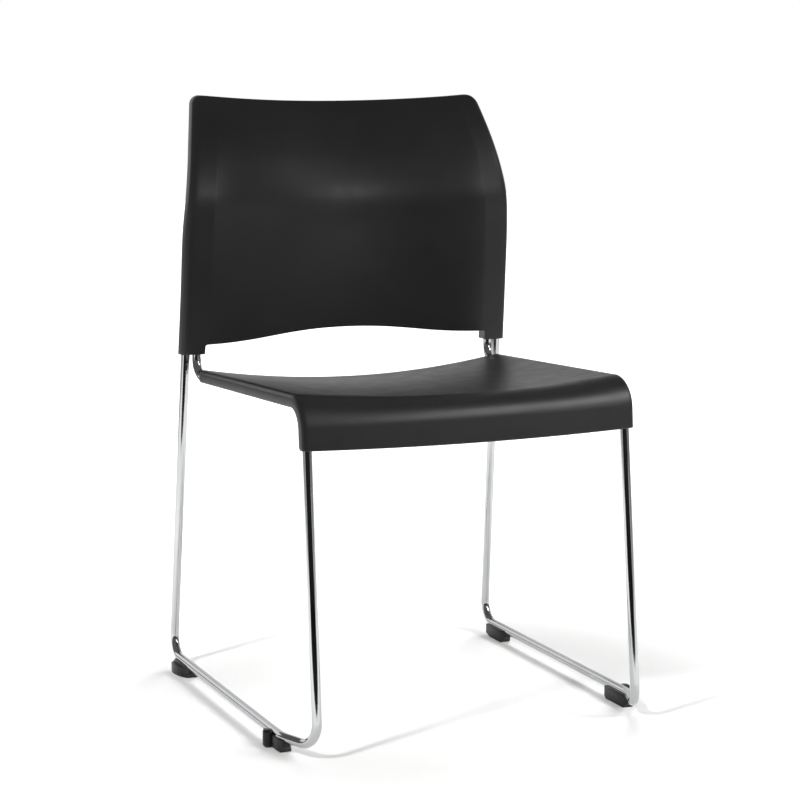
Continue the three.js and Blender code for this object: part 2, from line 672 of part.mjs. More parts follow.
function bumperSolid(side, row) {
  const y = FIXING_Y[row] - CROSS_OFFSET;
  const inside = CROSS_ROD / 2 + GAP;
  const { half, pad, mouth, length, lip, corner: cut } = BUMPER;
  const mouthAngle = Math.acos(mouth / inside);
  const shape = new THREE.Shape();
  const mouthZ = inside * Math.sin(mouthAngle);
  shape.moveTo(mouth, mouthZ);
  shape.lineTo(mouth + lip, mouthZ + lip / 2);
  shape.lineTo(half, 0);
  shape.lineTo(half, -pad + cut);
  shape.lineTo(half - cut, -pad);
  shape.lineTo(-half + cut, -pad);
  shape.lineTo(-half, -pad + cut);
  shape.lineTo(-half, 0);
  shape.lineTo(-mouth - lip, mouthZ + lip / 2);
  shape.lineTo(-mouth, mouthZ);
  shape.absarc(0, 0, inside, Math.PI - mouthAngle, mouthAngle, false);
  const bumper = new THREE.ExtrudeGeometry(shape, { depth: length, bevelEnabled: false, curveSegments: 14 });
  bumper.applyMatrix4(new THREE.Matrix4().set(0, 0, 1, 0, 1, 0, 0, 0, 0, 1, 0, 0, 0, 0, 0, 1));
  return bumper.translate(side * BUMPER.x - length / 2, y, crossZ(y));
}

// ---------------------------------------------------------------- assemble
for (const [name, side] of Object.entries(SIDES)) {
  addPiece(`side_frame_${name}`, rodAlong(sideFrameCorners(side), ROD), chrome);
}
for (const row of Object.keys(FIXING_Y)) {
  addPiece(`cross_rod_${row}`, rodAlong(crossRodCorners(row), CROSS_ROD), chrome);
}
addPiece('seat_shell', toGeometry(seatSolid()), shellPlastic);
addPiece('back_shell', toGeometry(backSolid()), shellPlastic);
for (const row of Object.keys(FIXING_Y)) {
  for (const [name, side] of Object.entries(SIDES)) {
    addPiece(`seat_plate_${row}_${name}`, seatPlate(side, row), steel);
    const screw = addPiece(`seat_screw_${row}_${name}`, screwGeometry(SCREW).rotateX(Math.PI), zinc);
    screw.position.set(side * FIXING_X, FIXING_Y[row], plateTop(FIXING_Y[row]) - PLATE.thick - GAP);
  }
}

for (const [name, side] of Object.entries(SIDES)) {
  for (const row of ['front', 'rear']) {
    addPiece(`glide_${row}_${name}`, toGeometry(glideSolid(side, row)), glidePlastic);
    addPiece(`stack_bumper_${row}_${name}`, bumperSolid(side, row), bumperPlastic);
  }
  addPiece(`back_plate_${name}`, backPlate(side), steel);
  BACK_SCREW.heights.forEach((z, k) => {
    const level = ['lower', 'upper'][k];
    const geometry = screwGeometry(BACK_SCREW).rotateX(-Math.PI / 2);
    const screw = addPiece(`back_screw_${level}_${name}`, geometry, zinc);
    const spot = betweenUprights(side, z);
    const out = (SOCKET.rear + 2 * GAP) * Math.cos(SCREW_TILT);
    screw.rotation.x = SCREW_TILT;
    screw.position.set(spot.x, spot.y + out * Math.cos(SCREW_TILT), z + out * Math.sin(SCREW_TILT));
  });
}

const bounds = new THREE.Box3().setFromObject(chair);
chair.position.y = -(bounds.min.y + bounds.max.y) / 2;

export default chair;
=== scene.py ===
"""A sled-base stacking chair: two bent chrome rods, a moulded seat and a moulded back.

Shapes are made in millimetres in the chair's own frame (+Z up, the sitter faces -Y)
and turned into metres when a mesh is made.  Lengths along Y are first measured from
the front corner of the runners, and moved by SHIFT_Y.
"""

import math

import bmesh
import bpy
from mathutils import Matrix, Vector

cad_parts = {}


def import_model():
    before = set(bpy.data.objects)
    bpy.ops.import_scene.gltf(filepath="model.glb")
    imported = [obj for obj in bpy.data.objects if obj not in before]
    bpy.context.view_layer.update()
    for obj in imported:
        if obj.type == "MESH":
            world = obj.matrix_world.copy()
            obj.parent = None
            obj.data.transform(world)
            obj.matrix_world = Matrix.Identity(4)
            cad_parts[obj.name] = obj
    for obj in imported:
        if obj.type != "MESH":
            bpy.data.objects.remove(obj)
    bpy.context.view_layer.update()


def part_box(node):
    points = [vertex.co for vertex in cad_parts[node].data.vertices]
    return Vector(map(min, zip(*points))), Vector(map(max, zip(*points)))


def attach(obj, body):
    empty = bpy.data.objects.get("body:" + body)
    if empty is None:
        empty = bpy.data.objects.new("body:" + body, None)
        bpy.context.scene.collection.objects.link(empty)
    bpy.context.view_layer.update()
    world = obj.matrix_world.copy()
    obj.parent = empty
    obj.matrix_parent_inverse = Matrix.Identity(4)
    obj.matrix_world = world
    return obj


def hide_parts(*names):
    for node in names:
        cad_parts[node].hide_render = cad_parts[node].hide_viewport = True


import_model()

MM = 0.001
SIDES = {"left": -1, "right": 1}
ROWS = ("front", "rear")
SHARP_ANGLE = math.radians(32)  # edges that turn by more stay sharp


def frame_box(node):
    """Lowest and highest corner of a part's box, in millimetres."""
    low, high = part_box(node)
    return low / MM, high / MM


# -------------------- driving dimensions
GAP = 0.35  # air left between pieces that touch
ROD = 12.7  # side frame rod diameter
CROSS_ROD = 10  # cross rod diameter
RUNNER_Z = 19  # height of a runner's centre line
RUNNER_X = 257  # half the distance between the runners
RUNNER_LENGTH = 524  # between the corners of a runner
LEG_X = 232.5  # half the distance between the feet of the front legs
RAIL_X = 229.3  # half the distance between the seat rails
FRONT_LEAN = 0.102  # rearward travel of a front leg per mm of height
REAR_LEAN = -0.11  # the same for a rear leg, which leans forward
REAR_TAPER = 0.019  # inward travel of a rear leg per mm of height
BEND = 30  # centre-line radius of the rod's tight bends
UPRIGHT_BEND = 27  # the same where a seat rail turns up into the back
JOG_START = 66  # corner where a runner turns inboard to the front leg
JOG_BEND = 60  # radius of that turn
RAIL_SLOPE = -0.039  # rise of the seat and its rails per mm rearward
ROD_TOP_Z = 620  # height where both uprights end, inside the back
RAIL_DEPTH = 13.5  # from the seat's edge down to a seat rail's centre line
UPRIGHT_PITCH = 15.4  # between a rear leg and the inner upright beside it
UPRIGHT_LEAD = 4.75  # the upright stands this far in front of the leg

SEAT_HALF = frame_box("seat_shell")[1].x
SEAT_SKIN = 3.6
FLANGE_WALL = 3.2
SEAT_FRONT_Y = 26  # front face at the bottom of the apron
SEAT_REAR_Y = 441
SEAT_TOP_Z = 467  # height of the side edge at SEAT_TOP_Y
SEAT_TOP_Y = 84
APRON_BOTTOM_Z = 400
APRON_LEAN = 0.085
WATERFALL = 44  # radius of the rolled front edge
FLANGE = 17.4  # depth of the seat's side flange
FLANGE_CORNER = 6  # rounding of the flange at the shell's two ends
SHOULDER = 7  # rounding between the seat's top and its flange
DISH_FRONT = 12  # hollow of the seat across its width
DISH_REAR = 20.5
APRON_BOW = -8  # the apron bulges forward in the middle
APRON_SAG = 4  # and its lower edge dips there

BACK_SKIN = 4.5
BACK_DEPTH = 20  # depth of the rim around the back
BACK_BOTTOM_Z, BACK_TOP_Z = (corner.z for corner in frame_box("back_shell"))
TOP_SAG = 9  # the top edge dips in the middle
ARCH_Z = 486.8  # lower edge of the panel next to the sockets
ARCH_RISE = 14
ARCH_HALF = 223.5  # half the arch's width, between the sockets
SOCKET_TOP_Z = 640

SHIFT_Y = frame_box("seat_shell")[1].y - SEAT_REAR_Y


# -------------------- small maths
def lerp(a, b, share):
    return a + (b - a) * share


def smoothstep(value, low, high):
    share = min(1, max(0, (value - low) / (high - low)))
    return share * share * (3 - 2 * share)


def quarter_turn(steps):
    """Angles from nothing to a right angle."""
    return [math.pi / 2 * k / steps for k in range(steps + 1)]


def rail_z(y):
    return SEAT_TOP_Z - RAIL_DEPTH + RAIL_SLOPE * (y - SEAT_TOP_Y)


# -------------------- mesh helpers
def new_object(name, data):
    made = bpy.data.objects.new(name, data)
    bpy.context.scene.collection.objects.link(made)
    return made


def mesh_piece(name, points, faces):
    """A mesh object from points in millimetres; its normals are made to face out."""
    mesh = bpy.data.meshes.new(name)
    mesh.from_pydata([(x * MM, (y + SHIFT_Y) * MM, z * MM) for x, y, z in points], [], faces)
    work = bmesh.new()
    work.from_mesh(mesh)
    bmesh.ops.recalc_face_normals(work, faces=work.faces)
    work.to_mesh(mesh)
    work.free()
    return new_object(name, mesh)


def bake_modifiers(piece):
    """Applies a piece's modifiers to its mesh."""
    bpy.context.view_layer.update()
    shown = piece.evaluated_get(bpy.context.evaluated_depsgraph_get())
    mesh = bpy.data.meshes.new_from_object(shown)
    piece.modifiers.clear()
    piece.data = mesh
    return piece


def combine(piece, other, operation):
    """Joins or cuts piece by other, which is used up."""
    modifier = piece.modifiers.new(operation.lower(), "BOOLEAN")
    modifier.operation = operation
    modifier.solver = "EXACT"
    modifier.object = other
    bake_modifiers(piece)
    bpy.data.objects.remove(other)
    return piece


def join(piece, other):
    return combine(piece, other, "UNION")


def cut(piece, other):
    return combine(piece, other, "DIFFERENCE")


def round_edges(piece, width, angle=35):
    """Rounds the edges of a piece that turn by more than angle; width in millimetres."""
    modifier = piece.modifiers.new("edges", "BEVEL")
    modifier.width = width * MM
    modifier.segments = 3
    modifier.limit_method = "ANGLE"
    modifier.angle_limit = math.radians(angle)
    return bake_modifiers(piece)


def finish_piece(piece, name, look, *nodes):
    """Name, smooth shading, material and the hidden solid parts that the piece stands for; a look
    is a material with a slot name, and the slot name is not used."""
    material, slot = look
    mesh = piece.data
    piece.name = name
    mesh.name = name
    mesh.shade_smooth()
    mesh.set_sharp_from_angle(angle=SHARP_ANGLE)
    mesh.materials.clear()
    mesh.materials.append(material)
    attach(piece, "root")
    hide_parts(*nodes)


def skin_rings(rings, cap_strips=False):
    """Faces over a list of closed rings of equal length, with both ends closed.

    With cap_strips the ends are closed by strips between the two halves of a ring,
    whose points lie opposite each other."""
    count = len(rings[0])
    points = [point for ring in rings for point in ring]
    faces = []
    for k in range(len(rings) - 1):
        for i in range(count):
            j = (i + 1) % count
            faces.append((k * count + i, k * count + j, (k + 1) * count + j, (k + 1) * count + i))
    last = (len(rings) - 1) * count
    if cap_strips:
        for i in range(count // 2 - 1):
            strip = (i, i + 1, count - 2 - i, count - 1 - i)
            faces.append(strip)
            faces.append(tuple(last + index for index in strip))
    else:
        faces.append(tuple(range(count)))
        faces.append(tuple(range(last, last + count)))
    return points, faces


def prism(name, outline, low, high):
    """An outline in plan pulled up between two heights."""
    rings = [[(x, y, z) for x, y in outline] for z in (low, high)]
    return mesh_piece(name, *skin_rings(rings))


def block(name, size, centre, turn):
    """A rectangular block turned about its own vertical axis."""
    half_x, half_y, half_z = (side / 2 for side in size)
    swing = Matrix.Rotation(turn, 2)
    outline = []
    for x, y in ((-half_x, -half_y), (half_x, -half_y), (half_x, half_y), (-half_x, half_y)):
        corner = swing @ Vector((x, y))
        outline.append((centre[0] + corner.x, centre[1] + corner.y))
    return prism(name, outline, centre[2] - half_z, centre[2] + half_z)


def lathe(name, profile, sides, place):
    """A closed body turned about an axis; profile is (radius, height) from end to end,
    place is a matrix in millimetres."""
    points = []
    rows = []
    for radius, height in profile:
        if radius == 0:
            rows.append([len(points)] * sides)
            points.append(place @ Vector((0, 0, height)))
        else:
            rows.append(list(range(len(points), len(points) + sides)))
            for k in range(sides):
                angle = 2 * math.pi * k / sides
                spot = Vector((radius * math.cos(angle), radius * math.sin(angle), height))
                points.append(place @ spot)
    faces = []
    for low, high in zip(rows, rows[1:]):
        for k in range(sides):
            j = (k + 1) % sides
            corners = [low[k], low[j], high[j], high[k]]
            face = list(dict.fromkeys(corners))
            if len(face) > 2:
                faces.append(face)
    return mesh_piece(name, points, faces)


def bore(radius, low, high, place):
    """A cylinder that cuts a hole."""
    return lathe("bore", [(0, low), (radius, low), (radius, high), (0, high)], 32, place)


def at(x, y, z):
    return Matrix.Translation((x, y, z))


# -------------------- bent rods
def bent_path(corners, step=math.radians(3)):
    """A polyline with rounded corners; each corner is (point, bend radius)."""
    places = [Vector(place) for place, _ in corners]
    stations = [places[0]]
    for before, here, after, radius in zip(
        places, places[1:], places[2:], [radius for _, radius in corners[1:-1]]
    ):
        into = (here - before).normalized()
        out = (after - here).normalized()
        turn = into.angle(out)
        centre = here + (out - into).normalized() * radius / math.cos(turn / 2)
        start = here - into * radius * math.tan(turn / 2) - centre
        axis = into.cross(out).normalized()
        steps = max(2, round(turn / step))
        for k in range(steps + 1):
            stations.append(Matrix.Rotation(turn * k / steps, 3, axis) @ start + centre)
    stations.append(places[-1])
    return stations


def rod(name, stations, radius, sides=48, chamfer=0.8):
    """A round rod along stations, with a small chamfer at both ends."""
    tangents = []
    for before, here, after in zip([None, *stations], stations, [*stations[1:], None]):
        tangent = Vector()
        if before is not None:
            tangent += (here - before).normalized()
        if after is not None:
            tangent += (after - here).normalized()
        tangents.append(tangent.normalized())
    across = tangents[0].orthogonal().normalized()
    rings = []
    for here, tangent in zip(stations, tangents):
        across = (across - tangent * across.dot(tangent)).normalized()
        up = tangent.cross(across)
        rings.append((here, across, up, radius))
    here, across, up, _ = rings[0]
    rings[0] = (here + tangents[0] * chamfer, across, up, radius)
    rings.insert(0, (here, across, up, radius - chamfer))
    here, across, up, _ = rings[-1]
    rings[-1] = (here - tangents[-1] * chamfer, across, up, radius)
    rings.append((here, across, up, radius - chamfer))
    loops = []
    for here, across, up, size in rings:
        loop = []
        for k in range(sides):
            angle = 2 * math.pi * k / sides
            loop.append(here + (across * math.cos(angle) + up * math.sin(angle)) * size)
        loops.append(loop)
    return mesh_piece(name, *skin_rings(loops))


def rear_leg_at(z):
    rise = z - RUNNER_Z
    return RUNNER_X - REAR_TAPER * rise, RUNNER_LENGTH + REAR_LEAN * rise


def upright_y(z):
    return rear_leg_at(z)[1] - UPRIGHT_LEAD


def side_frame_path(side):
    rail_front = FRONT_LEAN * (SEAT_TOP_Z - RAIL_DEPTH - RUNNER_Z)
    rail_rear = upright_y(rail_z(RUNNER_LENGTH - 50))
    flare = SEAT_REAR_Y - 3  # the rails turn outwards to the uprights here
    foot_x, _ = rear_leg_at(rail_z(rail_rear))
    top_x, top_y = rear_leg_at(ROD_TOP_Z)
    return bent_path([
        ((side * top_x, top_y, ROD_TOP_Z), 0),
        ((side * RUNNER_X, RUNNER_LENGTH, RUNNER_Z), BEND),
        ((side * RUNNER_X, JOG_START, RUNNER_Z), JOG_BEND),
        ((side * LEG_X, 0, RUNNER_Z), BEND),
        ((side * RAIL_X, rail_front, rail_z(rail_front)), BEND),
        ((side * RAIL_X, flare, rail_z(flare)), BEND),
        ((side * (foot_x - UPRIGHT_PITCH), rail_rear, rail_z(rail_rear)), UPRIGHT_BEND),
        ((side * (top_x - UPRIGHT_PITCH), upright_y(ROD_TOP_Z), ROD_TOP_Z), 0),
    ])


# -------------------- seat shell
def seat_stations():
    """Side profile of the seat's top edge: up the apron, over the rolled front, along
    the seat.  Each station is y, z, inward normal, dish, sag and pinch; a pinch thins
    the section to round the shell's two ends."""
    meet_z = SEAT_TOP_Z + RAIL_SLOPE * (SEAT_FRONT_Y - SEAT_TOP_Y)

    def apron_y(z):
        return SEAT_FRONT_Y + APRON_LEAN * (z - APRON_BOTTOM_Z)

    up = Vector((APRON_LEAN, 1)).normalized()
    back = Vector((1, RAIL_SLOPE)).normalized()
    turn = math.acos(up.dot(back))
    inward = Vector((up.y, -up.x))
    arc_start = Vector((apron_y(meet_z), meet_z)) - up * WATERFALL * math.tan(turn / 2)
    centre = arc_start + inward * WATERFALL
    stations = []
    end_round = 1.5
    for angle in quarter_turn(4):
        z = APRON_BOTTOM_Z + end_round * (1 - math.cos(angle))
        stations.append((apron_y(z), z, inward, APRON_BOW, end_round * (1 - math.sin(angle))))
    apron_steps = 10
    low = APRON_BOTTOM_Z + end_round
    for k in range(1, apron_steps):
        z = lerp(low, arc_start.y, k / apron_steps)
        stations.append((apron_y(z), z, inward, APRON_BOW, 0))
    arc_steps = 30
    for k in range(arc_steps + 1):
        normal = Matrix.Rotation(-turn * k / arc_steps, 2) @ inward
        spot = centre - normal * WATERFALL
        dish = lerp(APRON_BOW, DISH_FRONT, smoothstep(k / arc_steps, 0, 1))
        stations.append((spot.x, spot.y, normal, dish, 0))
    top_start = stations[-1][0]
    down = Vector((back.y, -back.x))
    top_steps = 90
    last = SEAT_REAR_Y - end_round
    for k in range(1, top_steps + 1):
        y = lerp(top_start, last, k / top_steps)
        share = (y - top_start) / (SEAT_REAR_Y - top_start)
        dish = lerp(DISH_FRONT, DISH_REAR, smoothstep(share, 0, 1))
        stations.append((y, SEAT_TOP_Z + RAIL_SLOPE * (y - SEAT_TOP_Y), down, dish, 0))
    for angle in quarter_turn(4)[1:]:
        y = last + end_round * math.sin(angle)
        z = SEAT_TOP_Z + RAIL_SLOPE * (y - SEAT_TOP_Y)
        stations.append((y, z, down, DISH_REAR, end_round * (1 - math.cos(angle))))
    return stations, arc_start.y


def seat_half_section(half, skin, dish, flange, lip):
    """Half section as (x, depth), from the flange's lower edge over the shoulder to the
    middle.  lip is signed: it rounds the flange's edge towards the other skin."""
    shoulder = SHOULDER - skin
    points = []
    for angle in (60, 30, 0):
        turned = math.radians(angle)
        spread = abs(lip) * (1 - math.cos(turned))
        points.append((half - math.copysign(spread, lip), flange - abs(lip) * (1 - math.sin(turned))))
    for angle in quarter_turn(8):
        points.append((half - shoulder * (1 - math.cos(angle)), skin + shoulder * (1 - math.sin(angle))))
    spans = 26
    flat = half - shoulder
    for k in range(1, spans + 1):
        share = 1 - k / spans
        points.append((flat * share, skin + dish * (1 - share * share)))
    return points


def seat_section(dish, pinch, corner):
    def mirror(points):
        return [(-x, depth) for x, depth in reversed(points[:-1])]

    lip = 1.4
    flange = FLANGE - pinch - corner
    outer = seat_half_section(SEAT_HALF - pinch, pinch, dish, flange, lip)
    inner = seat_half_section(SEAT_HALF - FLANGE_WALL + pinch, SEAT_SKIN - pinch, dish, flange, -lip)
    return outer + mirror(outer) + list(reversed(inner + mirror(inner)))


def seat_shell():
    stations, apron_top = seat_stations()
    rings = []
    for y, z, normal, dish, pinch in stations:
        fall = max(0, (apron_top - z) / (apron_top - APRON_BOTTOM_Z)) if normal.x > 0.9 else 0
        sag = APRON_SAG * fall
        to_end = z - APRON_BOTTOM_Z if fall else SEAT_REAR_Y - y
        near_end = max(0, 1 - to_end / FLANGE_CORNER)
        corner = FLANGE_CORNER * (1 - math.sqrt(1 - near_end * near_end))
        rings.append([
            (x, y + normal.x * depth, z + normal.y * depth - sag * (1 - (x / SEAT_HALF) ** 2))
            for x, depth in seat_section(dish, pinch, corner)
        ])
    return mesh_piece("seat_shell_moulding", *skin_rings(rings, cap_strips=True))


# -------------------- seat fixings
FIXING_X = 142  # the seat's screws, plates and bosses lie this far from the middle
FIXING_Y = {"front": 130, "rear": 370}
PLATE = {"width": 28, "length": 30, "thick": 3, "hole": 3.1}
CROSS_DROP = 20  # a cross rod's middle lies this far below the rails
CROSS_RAMP = 60  # length of the slope at each of its ends
CROSS_OFFSET = 13  # it lies this far in front of the seat's screws
SCREW = {"shank": 2.4, "head": 5.5, "head_height": 3.6, "length": 10, "pilot": 2.8}
BOSS = 8  # boss radius
BOSS_BEVEL = 0.6
FIN = {"length": 33.6, "thick": 2}  # a cross of two fins stiffens every boss
ROOT = 1.5  # how far ribs and bosses reach into the skin above them
RIB = {"thick": 2.5, "hang": 7, "outboard": 40, "from_screws": 60}
REAR_LIP = {"thick": 5, "hang": 9, "from_sides": 20}
PLATE_EDGE = 0.4  # rounding of the steel plates' edges


def cross_z(y):
    return rail_z(y) - CROSS_DROP


def plate_top(y):
    return cross_z(y - CROSS_OFFSET) + CROSS_ROD / 2 + GAP + PLATE["thick"]


def seat_underside_z(x, y):
    dish = lerp(DISH_FRONT, DISH_REAR, smoothstep(y, SEAT_FRONT_Y + WATERFALL, SEAT_REAR_Y))
    top = SEAT_TOP_Z + RAIL_SLOPE * (y - SEAT_TOP_Y)
    return top - SEAT_SKIN - dish * (1 - (x / SEAT_HALF) ** 2)


def hanging_strip(y, thickness, hang, half):
    """A rib under the seat, across its width, that follows the seat's hollow."""
    rings = []
    spans = 24
    for k in range(spans + 1):
        x = lerp(-half, half, k / spans)
        roof = seat_underside_z(x, y)
        rings.append([
            (x, y, roof + ROOT), (x, y + thickness, roof + ROOT),
            (x, y + thickness, roof - hang), (x, y, roof - hang),
        ])
    return mesh_piece("strip", *skin_rings(rings))


def seat_piece():
    seat = seat_shell()
    lip, lip_half = REAR_LIP["thick"], SEAT_HALF - REAR_LIP["from_sides"]
    join(seat, hanging_strip(SEAT_REAR_Y - lip, lip, REAR_LIP["hang"], lip_half))
    for row, y in FIXING_Y.items():
        for side in SIDES.values():
            x = side * FIXING_X
            bottom = plate_top(y) + GAP
            top = seat_underside_z(x, y) + ROOT
            boss = lathe("boss", [
                (0, bottom), (BOSS - BOSS_BEVEL, bottom), (BOSS, bottom + BOSS_BEVEL),
                (BOSS, top), (0, top),
            ], 40, at(x, y, 0))
            join(seat, boss)
            fin_size = (FIN["length"], FIN["thick"], top - bottom)
            for turn in (0, math.pi / 2):
                join(seat, block("fin", fin_size, (x, y, (top + bottom) / 2), turn))
            low = plate_top(y) - PLATE["thick"] - 0.5
            cut(seat, bore(SCREW["pilot"], low, low + SCREW["length"] + 1, at(x, y, 0)))
        inward = RIB["from_screws"] if row == "front" else -RIB["from_screws"]
        rib_half = FIXING_X + RIB["outboard"]
        join(seat, hanging_strip(y + inward, RIB["thick"], RIB["hang"], rib_half))
    return seat


# -------------------- back shell
# Side edge of the back from the bottom up: half width, y of the front face, height.
BACK_EDGE = [
    (257.7, 459.5, 473), (256, 449.5, 560), (254.3, 440.9, 650), (250.3, 437, 699),
    (244.3, 445.7, 740), (237.2, 461.8, 780), (228.6, 482.8, 820), (223.5, 496, 842),
]
EDGE_ROUND = 9  # between the front face and the side walls
RIM_EDGE = 0.8  # rounding of the rim's rear edges
TOP_CORNER = 13  # radius of the two top corners
TOP_ROUND = 2.5  # rounding of the top edge towards the front
ARCH_FADE = 110  # the rings lose the shape of the arch over this height
HOLLOW_SHARE = 0.85  # the front face is flat outside this share of the half width
HOLLOW_POWER = 1.4  # how gently the hollow runs out at its sides
HOLLOW = {"bottom": 23.5, "deepest": 42, "deepest_z": 770, "top": 38}


def centripetal(points, steps=24):
    """Points along a centripetal Catmull-Rom curve, with mirrored end tangents."""
    places = [Vector(point) for point in points]
    places = [2 * places[0] - places[1], *places, 2 * places[-1] - places[-2]]
    made = []
    for p0, p1, p2, p3 in zip(places, places[1:], places[2:], places[3:]):
        t01, t12, t23 = ((b - a).length ** 0.5 for a, b in ((p0, p1), (p1, p2), (p2, p3)))
        m1 = ((p1 - p0) / t01 - (p2 - p0) / (t01 + t12) + (p2 - p1) / t12) * t12
        m2 = ((p2 - p1) / t12 - (p3 - p1) / (t12 + t23) + (p3 - p2) / t23) * t12
        for k in range(steps):
            t = k / steps
            made.append(
                p1 * (2 * t**3 - 3 * t**2 + 1) + m1 * (t**3 - 2 * t**2 + t)
                + p2 * (-2 * t**3 + 3 * t**2) + m2 * (t**3 - t**2)
            )
    made.append(places[-2])
    return made


EDGE_CURVE = centripetal(BACK_EDGE)


def back_edge_at(z):
    """Half width and front face of the back's side edge at a height."""
    for low, high in zip(EDGE_CURVE, EDGE_CURVE[1:]):
        if z <= high.z:
            break
    spot = low.lerp(high, (z - low.z) / (high.z - low.z))
    return spot.x, spot.y


def back_hollow(z):
    climb = smoothstep(z, BACK_BOTTOM_Z, HOLLOW["deepest_z"])
    lower = lerp(HOLLOW["bottom"], HOLLOW["deepest"], climb)
    rise = max(0, (z - HOLLOW["deepest_z"]) / (BACK_TOP_Z - HOLLOW["deepest_z"]))
    return lerp(lower, HOLLOW["top"], rise * rise)


def bezier(a, b, c, d, t):
    s = 1 - t
    return a * s**3 + 3 * b * s * s * t + 3 * c * s * t * t + d * t**3


def lower_edge(x):
    """Height of the panel's lower edge: an arch between the sockets, with a small
    fillet where it meets them."""
    x = abs(x)
    fillet = 4
    if x >= ARCH_HALF:
        return BACK_BOTTOM_Z
    low, high = 0, 1
    for _ in range(20):
        t = (low + high) / 2
        if bezier(0, ARCH_HALF * 0.45, ARCH_HALF * 0.55, ARCH_HALF, t) < x:
            low = t
        else:
            high = t
    rise = bezier(ARCH_RISE, ARCH_RISE, 0, 0, low)
    into = max(0, x - (ARCH_HALF - fillet))
    return ARCH_Z + rise - (fillet - math.sqrt(max(0, fillet**2 - into**2)))


def back_columns():
    """Places across the back from the middle outwards, closer together at the socket."""
    spans = 26
    even = [ARCH_HALF * k / spans for k in range(spans)]
    wide = [x for x in even if x < ARCH_HALF - 7]
    near = [ARCH_HALF - inside for inside in (6, 4, 2.8, 1.7, 0.8, 0.25)]
    beyond = [ARCH_HALF + outside for outside in (0.05, 0.6, 3, 8, 15, 21)]
    return wide + near + beyond


BACK_COLUMNS = back_columns()
COLUMN_REACH = 248.7  # half width of the flat part of the front face at the bottom


def back_ring(level, front, rear, inset, arched):
    """One closed ring of the back.  level is its nominal height; front and rear are
    depths behind the front face, inset moves the sides in, and arched rings follow the
    panel's lower edge."""
    top = BACK_TOP_Z - (inset if not arched else 0)
    above = max(0, (level - (top - TOP_CORNER)) / TOP_CORNER)
    corner_in = TOP_CORNER * (1 - math.sqrt(max(0, 1 - min(1, above) ** 2)))
    round_off = EDGE_ROUND - inset
    share = (level - BACK_BOTTOM_Z) / (top - BACK_BOTTOM_Z)
    fade = max(0, 1 - (level - BACK_BOTTOM_Z) / ARCH_FADE)

    def place(kind, value, depth):
        z = level
        if arched:
            x_bottom = COLUMN_REACH * value if kind == "flat" else COLUMN_REACH + 1
            z += (lower_edge(x_bottom) - BACK_BOTTOM_Z) * fade * fade
        edge_x, edge_y = back_edge_at(min(z, BACK_TOP_Z))
        half = edge_x - inset - corner_in
        flat = half - round_off
        if kind == "flat":
            x = flat * value
        else:
            x = flat + round_off * math.cos(value)
            depth = depth + round_off * (1 - math.sin(value)) if kind == "round" else depth
        return x, depth, z, half, edge_x, edge_y

    def world(x, depth, z, half, edge_x, edge_y):
        bowl = max(0, 1 - (x / (edge_x * HOLLOW_SHARE)) ** 2) ** HOLLOW_POWER
        sag = TOP_SAG * max(0, share) ** 6 * (1 - (x / half) ** 2)
        return x, edge_y + depth + back_hollow(z) * bowl, z - sag

    angles = quarter_turn(8)[:-1]
    columns = [x / COLUMN_REACH for x in BACK_COLUMNS]
    half_front = [("flat", value, front) for value in columns]
    half_front += [("round", angle, front) for angle in reversed(angles)]
    half_rear = [("flat", value, rear) for value in columns]
    half_rear += [("rear", angle, rear) for angle in reversed(angles)]

    def full(half_list):
        made = [world(*place(*entry)) for entry in half_list]
        return [(-x, y, z) for x, y, z in reversed(made[1:])] + made

    return full(half_front) + list(reversed(full(half_rear)))


def back_levels(top, fine):
    """Heights of the rings, closer together towards the rounded top."""
    even_steps = 70
    even_top = top - TOP_CORNER - 4
    even = [lerp(BACK_BOTTOM_Z, even_top, k / even_steps) for k in range(even_steps + 1)]
    corner = [top - TOP_CORNER * (1 - math.sin(angle)) for angle in quarter_turn(12)[1:-1]]
    return even + [z for z in corner if z < top - fine]


def back_block(inset, front, rear, arched):
    """The back's outer body, which is arched, or the cutter that hollows it from behind
    and runs out below it."""
    top = BACK_TOP_Z - (0 if arched else inset)
    levels = back_levels(top, TOP_ROUND)
    rings = [back_ring(level, front, rear, inset, arched) for level in levels]
    for angle in quarter_turn(6):
        level = top - TOP_ROUND * (1 - math.sin(angle))
        ease = TOP_ROUND * (1 - math.cos(angle)) if arched else 0
        rings.append(back_ring(level, front + ease, rear, inset, arched))
    if not arched:
        below = [(x, y, z - 60) for x, y, z in rings[0]]
        rings.insert(0, below)
    return mesh_piece("back_block", *skin_rings(rings, cap_strips=True))


# Offsets of a socket's walls from the rear leg's centre line.
SOCKET = {"front": 12.6, "rear": 14}
SOCKET_SECTION = [
    (-23.6, -10.6), (-21.6, -SOCKET["front"]), (2, -SOCKET["front"]), (6.5, -9.5), (8.3, -5),
    (8.3, 6), (5, SOCKET["rear"]), (-21, SOCKET["rear"]), (-23.6, 9.7),
]
# (height, inset) pairs that soften a socket's two ends
SOCKET_LEVELS = [
    (BACK_BOTTOM_Z, 0.9), (BACK_BOTTOM_Z + 0.3, 0.3), (BACK_BOTTOM_Z + 0.9, 0),
    (SOCKET_TOP_Z - 3, 0), (SOCKET_TOP_Z, 3),
]
BACK_PLATE = {"half": 13, "thick": 3, "low": 500, "high": 580}
BACK_SCREW = {"shank": 2, "head": 5, "head_height": 3.2, "length": 8, "heights": (515, 565)}
BACK_HOLE = (6.2, 30)  # from inside the plate's slot to behind the socket
SCREW_TILT = math.atan(-REAR_LEAN)


